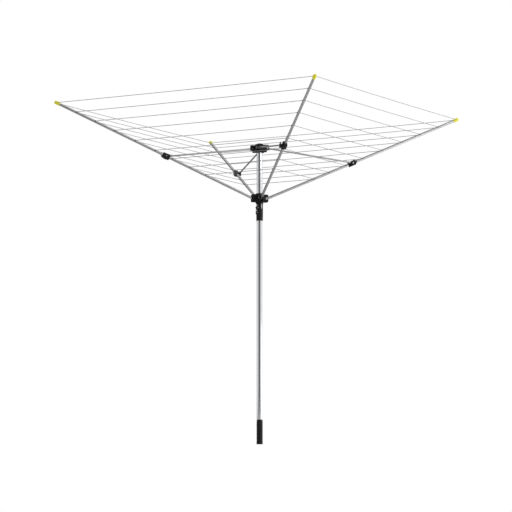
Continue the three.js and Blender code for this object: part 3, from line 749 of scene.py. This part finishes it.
def grip_sleeve():
    """The waisted grip, with grip rings low down, windows, and ears for the latch."""
    grooves = []
    for radius, height in ((20.1, 1352), (20.3, 1361), (20.5, 1370)):
        grooves += [
            (radius, height), (radius - 0.6, height + 1.2), (radius - 0.6, height + 2.6),
            (min(radius + 0.1, 20.5), height + 3.8),
        ]
    sleeve = turned([
        (SLIDE_BORE, GRIP_LOW), (19.2, GRIP_LOW), (19.8, GRIP_LOW + 3), *grooves,
        (20.6, LATCH_PIVOT - 21), (20.6, LATCH_PIVOT - 9), (20, LATCH_PIVOT + 7),
        (20.6, GRIP_TOP - 13), (22.5, GRIP_TOP - 6), (22.5, GRIP_TOP), (SLIDE_BORE, GRIP_TOP),
    ], 1.4, 96)
    ear_root, ear_rim = SLIDE_BORE + 0.7, LATCH_RADIUS + 4.4
    ear = [
        (ear_root, LATCH_PIVOT - 6), (ear_rim, LATCH_PIVOT - 4), (ear_rim, LATCH_PIVOT + 4),
        (ear_root, LATCH_PIVOT + 6),
    ]
    ears = [
        at_latch(plate(ear, *sides, 3.2, 0.6))
        for sides in ((WINDOW_HALF, EAR_OUTER), (-EAR_OUTER, -WINDOW_HALF))
    ]
    bore = drum(SLIDE_BORE + 0.02, GRIP_LOW - OVERRUN, GRIP_TOP + OVERRUN, 0, 96)
    windows = [
        at_latch(opening(UPPER_WINDOW, WINDOW_HALF)),
        at_latch(opening(LOWER_WINDOW, WINDOW_HALF)),
        at_side_window(opening(SIDE_WINDOW, SIDE_WINDOW_HALF)),
    ]
    pin_hole = at_latch(cross_drum(1.8, LATCH_RADIUS, LATCH_PIVOT, -20, 20, 0))
    return cut(join(sleeve, *ears), bore, *windows, pin_hole)


def latch_lever():
    """A rocking lever with finger ridges on its lower end and two openings."""
    nose, heel = LATCH_PIVOT + 25, LATCH_PIVOT - 40
    front = (27.6, LATCH_PIVOT)
    thumb = (31, heel + 5)
    lever = plate([
        (MAST_RADIUS + GAP, nose - 4), (MAST_RADIUS + GAP, nose), (MAST_RADIUS + 1.8, nose + 1.5),
        (24, nose + 1.5), (26.6, nose - 2), front, thumb, (30.4, heel + 1.6), (27.5, heel),
        (26, heel + 2), (24.4, heel + 21), (21.8, LATCH_PIVOT - 7), (21.8, LATCH_PIVOT + 9),
        (22.4, nose - 4),
    ], -LEVER_HALF, LEVER_HALF, 1.2, 0.7)
    slope = 0.096  # of the face between the front and the thumb rest
    ridges = [
        cross_drum(0.9, 28.6 + (LATCH_PIVOT - 12 - height) * slope, height, -4.2, 4.2, 0.3, 16)
        for height in (heel + 5.5, heel + 8.5, heel + 11.5, heel + 14.5)
    ]
    openings = [opening(span, LEVER_OPENING_HALF) for span in (LOWER_OPENING, UPPER_OPENING)]
    pin_hole = cross_drum(1.7, LATCH_RADIUS, LATCH_PIVOT, -20, 20, 0)
    return at_latch(cut(join(lever, *ridges), *openings, pin_hole))


def insert(from_x, to_x, heights, half_width):
    """A bright plate that fills an opening of these heights and this width."""
    low, high = heights
    half_width -= INSERT_PLAY
    return block(
        from_x, to_x, low + INSERT_PLAY, high - INSERT_PLAY, -half_width, half_width, 0.5, 0.5)


def lever_window_reflections():
    """Bright steel plates in the lever's openings, a painted reflection: they stand in for the
    bright mast seen through them.
    """
    return at_latch(gathered(
        insert(24.6, 27.9, LOWER_OPENING, LEVER_OPENING_HALF),
        insert(22.4, 26.5, UPPER_OPENING, LEVER_OPENING_HALF),
    ))


def grip_window_reflection():
    """A bright steel plate in the grip's side window, a painted reflection: it stands in for the
    bright mast seen through it.
    """
    return at_side_window(insert(18.6, 21.2, SIDE_WINDOW, SIDE_WINDOW_HALF))


def latch_pin():
    shank = cross_drum(1.5, LATCH_RADIUS, LATCH_PIVOT, -9.4, 9.4, 0.2)
    heads = [
        cross_drum(2.6, LATCH_RADIUS, LATCH_PIVOT, *sides, 0.5)
        for sides in ((-9.7, -8.6), (8.6, 9.7))
    ]
    return at_latch(join(shank, *heads))


def latch_spring():
    """A bent leaf that presses the lever's lower end outward."""
    back, front, foot = SPRING_FOOT_RADIUS, SPRING_FOOT_RADIUS + 0.6, SPRING_FOOT
    return at_latch(plate([
        (back, foot), (front, foot), (front, foot - 12.4), (23.9, foot - 15), (24.4, foot - 13),
        (24.7, foot - 14), (24.1, foot - 16.2), (back, foot - 13.2),
    ], -3, 3, 0.5, 0.12))


# ----------------------------------------------------------------------- arms
# Arm pieces are made along X with the root pivot at the origin. The strut is at -Y.
def arm_tube():
    tube = placed(ring(ARM_RADIUS, ARM_BORE, ARM_START, ARM_END, 0.3, 48), ALONG_X)
    line_holes = [
        cross_drum(2.9, station, LINE_RISE, -THROUGH, THROUGH, 0, 20) for station in LINE_STATIONS
    ]
    pin_holes = [pin_bore(x, segments=24) for x in (0, BRACKET_AT)]
    return cut(tube, gathered(*line_holes, *pin_holes))


def grommets():
    """A flanged bush round the line at both mouths of every hole."""
    solids = []
    for station in LINE_STATIONS:
        for direction in (ALONG_Y, AGAINST_Y):
            bush = turned([
                (LINE_RADIUS + 0.1, 4.4), (2.8, 4.4), (2.8, 6.2), (4.1, 6.6), (4.1, 8.5),
                (3.1, 9.5), (LINE_RADIUS + 0.5, 9.5), (LINE_RADIUS + 0.1, 8.9),
            ], 0.4, 28)
            solids.append(placed(bush, moved(station, 0, LINE_RISE) @ direction))
    return gathered(*solids)


def arm_root():
    plug = placed(turned([
        (0, -ARM_RADIUS - 0.8), (5, -ARM_RADIUS - 0.4), (7.6, ARM_START - GAP),
        (ARM_BORE - GAP, ARM_START - GAP), (ARM_BORE - GAP, 28), (0, 28),
    ], 1.2, 40), ALONG_X)
    return cut(plug, pin_bore())


def tip_cap():
    """The yellow end cap: a flared collar, three grip rings and a rounded nose."""
    low, rim, waist = TIP_START, TIP_RADIUS - 0.1, TIP_RADIUS - 0.9
    shell = placed(turned([
        (ARM_RADIUS + 0.1, low), (waist, low), (rim, low + 1.2), (rim, low + 2.8),
        (waist, low + 3.5), (waist, low + 4.6), (rim, low + 5.3), (rim, low + 6.8),
        (waist, low + 7.5), (waist, low + 8.6), (TIP_RADIUS, low + 9.4), (TIP_RADIUS, TIP_END - 7),
        (TIP_RADIUS - 2.8, TIP_END - 2), (0, TIP_END), (0, ARM_END + GAP),
        (ARM_RADIUS + 0.1, ARM_END + GAP),
    ], 0.8, 56), ALONG_X)
    mouths = [
        placed(
            ring(3.9, LINE_RADIUS + 0.1, 8.4, TIP_RADIUS + 0.6, 0.5, 28),
            moved(TIP_LINE_AT, 0, LINE_RISE) @ direction)
        for direction in (ALONG_Y, AGAINST_Y)
    ]
    line_hole = cross_drum(
        LINE_RADIUS + 0.3, TIP_LINE_AT, LINE_RISE, -THROUGH, THROUGH, 0, 24)
    return cut(join(shell, *mouths), line_hole)


def bracket():
    """A block on the arm, with a cheek beyond the strut that a bridge below joins to it."""
    side = BRACKET_SIDE
    sleeve = block(-BRACKET_END, BRACKET_END, BRACKET_LOW, BRACKET_TOP, -side, side, 3, 1.2)
    cheek = block(-15, 13, CHEEK_LOW, 9, -CHEEK_OUTER, -STRUT_OFFSET - CHEEK_GAP, 8, 1.1)
    prong = block(0, BRACKET_END + 3, -9, 8.5, -CHEEK_OUTER, -PRONG_INNER, 6, 0.8)
    bridge = block(-11, 9, CHEEK_LOW, CHEEK_LOW + 3.6, -CHEEK_OUTER + 1, -ARM_RADIUS, 0, 0.9)
    boss = placed(ring(8.8, 6.3, 0, 1.8, 0.6, 44), moved(0, -CHEEK_OUTER + SUNK, 0) @ AGAINST_Y)
    whole = join(sleeve, bridge, cheek, prong, boss)
    bore = placed(drum(ARM_RADIUS + 0.12, -THROUGH, THROUGH, 0, 48), ALONG_X)
    grooves = [
        block(x - 1.2, x + 1.2, BRACKET_LOW + 3, BRACKET_TOP - 3, side - 0.7, side + 5, 0, 0)
        for x in (-17, 17)
    ]
    return placed(cut(whole, bore, pin_bore(), *grooves), moved(BRACKET_AT, 0, 0))


def bracket_pin():
    return headed_pin(BRACKET_AT, 0, -CHEEK_OUTER - GAP, BRACKET_SIDE + GAP)


def top_pin():
    return headed_pin(PIVOT_RADIUS, TOP_PIVOT, -CHEEK_OUTER - GAP, -CHEEK_INNER + GAP)


# --------------------------------------------------------------------- struts
# Strut pieces are made along X from the top hub's pin to the bracket's.
def strut_tube():
    return placed(ring(
        STRUT_RADIUS, STRUT_RADIUS - 0.8, TUBE_INSET, STRUT_LENGTH - TUBE_INSET, 0.3, 40), ALONG_X)


def strut_end():
    """An eye on the pin, a tapered neck with a collar, and a spigot in the tube."""
    half = EYE_WIDTH / 2
    eye = cross_drum(EYE_RADIUS, 0, 0, -half, half, 0.7, 40)
    neck = placed(turned([
        (0, 0), (half - 0.1, 0), (half - 0.1, 8), (4.2, 10), (4.2, TUBE_INSET - 4),
        (5.4, TUBE_INSET - 3.4), (5.4, TUBE_INSET - GAP), (3.9, TUBE_INSET - GAP),
        (3.9, TUBE_INSET + 20), (0, TUBE_INSET + 20),
    ], 0.5, 36), ALONG_X)
    return cut(join(eye, neck), pin_bore())


# ---------------------------------------------------------------------- lines
def in_side(along, rise=0.0):
    """A point above the arm's axis, in the frame of its side of the mast."""
    return Vector((
        PIVOT_RADIUS + along * math.cos(ARM_ANGLE) - rise * math.sin(ARM_ANGLE),
        0,
        RUNNER_PIVOT + along * math.sin(ARM_ANGLE) + rise * math.cos(ARM_ANGLE),
    ))


def swept(points, radius, sides=10):
    """A round cord through the points, closed at both ends."""
    solid = bmesh.new()
    rings = []
    for index, point in enumerate(points):
        before, after = points[max(index - 1, 0)], points[min(index + 1, len(points) - 1)]
        run = (after - before).normalized()
        across = run.cross(Vector((0, 0, 1))).normalized()
        over = across.cross(run)
        rings.append([
            solid.verts.new(point + radius * (math.cos(a) * across + math.sin(a) * over))
            for a in (2 * math.pi * step / sides for step in range(sides))
        ])
    for lower, upper in zip(rings, rings[1:]):
        for here in range(sides):
            there = (here + 1) % sides
            solid.faces.new([lower[here], lower[there], upper[there], upper[here]])
    solid.faces.new(rings[0][::-1])
    solid.faces.new(rings[-1])
    bmesh.ops.recalc_face_normals(solid, faces=solid.faces)
    return solid


def half_line(number, order, station, side):
    """One arm's half of a line, from inside the arm to the middle of the panel.

    side is +1 towards the next arm and -1 towards the last one, where the strut is.
    """
    start = in_side(station, LINE_RISE)
    mouth = (TIP_RADIUS if station == TIP_LINE_AT else ARM_RADIUS) + LINE_RADIUS
    middle = (start.x + mouth) / 2
    inner_end = Vector((start.x, 0, start.z))
    mouth_point = Vector((start.x, side * mouth, start.z))
    end = Vector((middle, side * middle, start.z))
    length = (end - mouth_point).length
    points = [inner_end, mouth_point.lerp(inner_end, 0.3)]
    for step in range(LINE_STEPS + 1):
        share = step / LINE_STEPS
        point = mouth_point.lerp(end, share)
        point.z -= 2 * length * LINE_SAG * share * (2 - share)
        points.append(point)
    to_side = turn_about("Z", 90 * (number - 1))
    name = f"line_{number}_{order}_{'next' if side > 0 else 'last'}"
    piece = make(
        name, swept(points, LINE_RADIUS), "line_cover", f"arm_{number}", [f"lines_{number}"],
        to_side, 60)
    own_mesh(piece)


# ------------------------------------------------------------------- assembly
def build_centre():
    make("foot", foot_sleeve(), "black_plastic", "base", ["foot_sleeve"])
    washer = ring(MAST_RADIUS - 0.6, SPIGOT_RADIUS + GAP, WASHER_LOW, WASHER_TOP, 0.4, 72)
    make("washer", washer, "nylon", "base", ["thrust_washer"])
    make("mast", mast_tube(), "mast_metal", "mast", ["mast_tube"])
    make("hub", top_hub(), "black_plastic", "mast", ["top_hub"])
    make("cap", top_cap(), "black_plastic", "mast", ["top_cap"])
    make("cross_rivet", hub_rivet(), "zinc", "mast", ["hub_rivet"])
    make("runner", runner_hub(), "black_plastic", "runner", ["runner_hub"])
    make("grip", grip_sleeve(), "black_plastic", "runner", ["grip_sleeve"])
    make("lever", latch_lever(), "black_plastic", "latch", ["latch_lever"])
    # bright plates that paint the mast's reflection into the lever's openings
    make("lever_window_reflections", lever_window_reflections(), "mast_metal", "latch")
    # a bright plate that paints the mast's reflection into the grip's side window
    make("grip_window_reflection", grip_window_reflection(), "mast_metal", "runner")
    make("lever_pin", latch_pin(), "zinc", "runner", ["latch_pin"])
    spring = make("lever_spring", latch_spring(), "zinc", "runner", ["latch_spring"])
    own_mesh(spring)
    for hidden in ("mast_bush", "runner_bush"):
        frame["nodes"][hidden].data.materials.clear()
        frame["nodes"][hidden].data.materials.append(FINISHES["nylon"])


def build_side(number):
    """One arm with its strut, its pins and its half of every line."""
    to_side = turn_about("Z", 90 * (number - 1))
    to_arm = to_side @ moved(PIVOT_RADIUS, 0, RUNNER_PIVOT) @ Matrix.Rotation(-ARM_ANGLE, 4, "Y")
    to_strut = to_side @ moved(PIVOT_RADIUS, -STRUT_OFFSET, TOP_PIVOT)
    to_strut = to_strut @ Matrix.Rotation(STRUT_ANGLE, 4, "Y")
    outer_end = moved(STRUT_LENGTH, 0, 0) @ turn_about("Z", 180)
    arm, strut = f"arm_{number}", f"strut_{number}"

    def add(name, solid, slot, body, stands_for, place):
        node = [f"{stands_for}_{number}"] if stands_for else ()
        make(f"{name}_{number}", solid, slot, body, node, place)

    add("tube", arm_tube(), "arm_metal", arm, "arm_tube", to_arm)
    add("grommets", grommets(), "black_plastic", arm, None, to_arm)
    add("root_plug", arm_root(), "black_plastic", arm, "arm_root", to_arm)
    add("end_cap", tip_cap(), "tip_plastic", arm, "tip_cap", to_arm)
    add("arm_bracket", bracket(), "black_plastic", arm, "bracket", to_arm)
    add("arm_bracket_pin", bracket_pin(), "zinc", arm, "bracket_pin", to_arm)
    add("strut", strut_tube(), "arm_metal", strut, "strut_tube", to_strut)
    add("strut_inner_eye", strut_end(), "zinc", strut, "strut_inner_end", to_strut)
    add(
        "strut_outer_eye", strut_end(), "black_plastic", strut, "strut_outer_end",
        to_strut @ outer_end)
    add("hub_pin", top_pin(), "zinc", "mast", "top_pivot_pin", to_side)
    add("arm_stud", arm_pivot_stud(), "zinc", "runner", "arm_pivot_stud", to_side)
    for order, station in enumerate([*LINE_STATIONS, TIP_LINE_AT], start=1):
        for side in (1, -1):
            half_line(number, order, station, side)


# ---------------------------------------------------------------------- stage
FLOOR_RADIUS = 6.0
# brightness by degrees from the camera's direction, positive to its right
STUDIO_ROUND = [
    (-180, 1.0), (-108, 1.0), (-79, 0.68), (-55, 0.48), (-34, 0.30), (-16, 0.16), (-2, 0.08),
    (12, 0.08), (26, 0.5), (38, 0.72), (57, 0.78), (80, 0.82), (132, 0.9), (180, 1.0),
]
# share of a dark panel behind the object at the left, low down
PANEL_ROUND = [(-178, 0.0), (-166, 1.0), (-134, 1.0), (-122, 0.0)]
PANEL_UP = [(0.3, 1.0), (0.45, 0.0)]
# brightness by the sine of the elevation
STUDIO_UP = [(-1.0, 1.0), (0.25, 1.0), (0.5, 0.7), (1.0, 0.5)]


def make_floor():
    """A pale floor that lights the object from below and isn't seen itself."""
    disc = bmesh.new()
    bmesh.ops.create_circle(disc, cap_ends=True, segments=64, radius=FLOOR_RADIUS)
    mesh = bpy.data.meshes.new("floor")
    disc.to_mesh(mesh)
    disc.free()
    floor = bpy.data.objects.new("floor", mesh)
    bpy.context.scene.collection.objects.link(floor)
    shader = Shader("pale_floor", roughness=0.8)
    distance = shader.tree.nodes.new("ShaderNodeVectorMath")
    distance.operation = "LENGTH"
    shader.link(shader.stretched((1 / FLOOR_RADIUS,) * 3), distance.inputs[0])
    mesh.materials.append(shader.paint(shader.ramp(
        distance.outputs["Value"], [(0.45, (0.8,) * 3), (0.75, (0.15,) * 3)])))
    floor.visible_camera = False


def make_world():
    """White to the eye. As light it is a studio that is bright behind and at the right,
    falls off towards the left, and has a dark strip in front."""
    world = bpy.data.worlds.new("studio")
    bpy.context.scene.world = world
    world.use_nodes = True
    nodes, links = world.node_tree.nodes, world.node_tree.links
    background = nodes["Background"]
    right, _, _ = camera_axes()
    to_camera = Vector((-math.sin(CAMERA_TURN), -math.cos(CAMERA_TURN), 0))
    direction = nodes.new("ShaderNodeTexCoord").outputs["Generated"]

    def part_along(axis):
        node = nodes.new("ShaderNodeVectorMath")
        node.operation = "DOT_PRODUCT"
        node.inputs[1].default_value = axis
        links.new(direction, node.inputs[0])
        return node.outputs["Value"]

    def maths(operation, first, second):
        node = nodes.new("ShaderNodeMath")
        node.operation = operation
        for slot, source in enumerate((first, second)):
            if isinstance(source, (int, float)):
                node.inputs[slot].default_value = source
            else:
                links.new(source, node.inputs[slot])
        return node.outputs[0]

    def graded(value, stops):
        """A grey for each value, from (position, grey) stops."""
        node = nodes.new("ShaderNodeValToRGB")
        fill_ramp(node, [(position, (grey, grey, grey)) for position, grey in stops])
        links.new(value, node.inputs["Fac"])
        return node.outputs["Color"]

    azimuth = maths("ARCTAN2", part_along(right), part_along(to_camera))
    round_share = maths("ADD", maths("DIVIDE", azimuth, 2 * math.pi), 0.5)
    height_share = maths("ADD", maths("MULTIPLY", part_along((0, 0, 1)), 0.5), 0.5)

    def by_azimuth(stops):
        return graded(round_share, [(degrees / 360 + 0.5, grey) for degrees, grey in stops])

    def by_height(stops):
        return graded(height_share, [(height / 2 + 0.5, grey) for height, grey in stops])

    panel = maths("MULTIPLY", by_azimuth(PANEL_ROUND), by_height(PANEL_UP))
    beside_panel = maths("SUBTRACT", 1.0, maths("MULTIPLY", panel, 0.95))
    open_glow = maths("MULTIPLY", by_azimuth(STUDIO_ROUND), by_height(STUDIO_UP))
    glow = maths("MULTIPLY", open_glow, beside_panel)
    seen = nodes.new("ShaderNodeLightPath").outputs["Is Camera Ray"]
    links.new(maths("MAXIMUM", glow, seen), background.inputs["Strength"])
    background.inputs["Color"].default_value = (1, 1, 1, 1)


def make_lamp(name, place, target, size, power):
    """A soft square lamp that the camera doesn't see."""
    lamp = bpy.data.objects.new(name, bpy.data.lights.new(name, "AREA"))
    bpy.context.scene.collection.objects.link(lamp)
    lamp.data.size = size
    lamp.data.energy = power
    lamp.visible_camera = False
    lamp.location = place
    lamp.rotation_mode = "QUATERNION"
    lamp.rotation_quaternion = (Vector(target) - lamp.location).to_track_quat("-Z", "Y")


def make_stage():
    make_floor()
    make_world()
    make_lamp("key_lamp", (4.5, -4.0, 4.5), (0, 0, 1.3), 2.5, 120)
    make_lamp("floor_lamp", (2.4, -1.0, 0.05), (0.9, -0.1, 1.8), 2.4, 30)
    make_lamp("top_lamp", (0.8, -3.0, 4.8), (0.5, 0, 1.8), 2.4, 10)
    bpy.context.scene.view_settings.view_transform = "Standard"


make_camera()
make_stage()
build_centre()
for arm_number in range(1, ARM_COUNT + 1):
    build_side(arm_number)
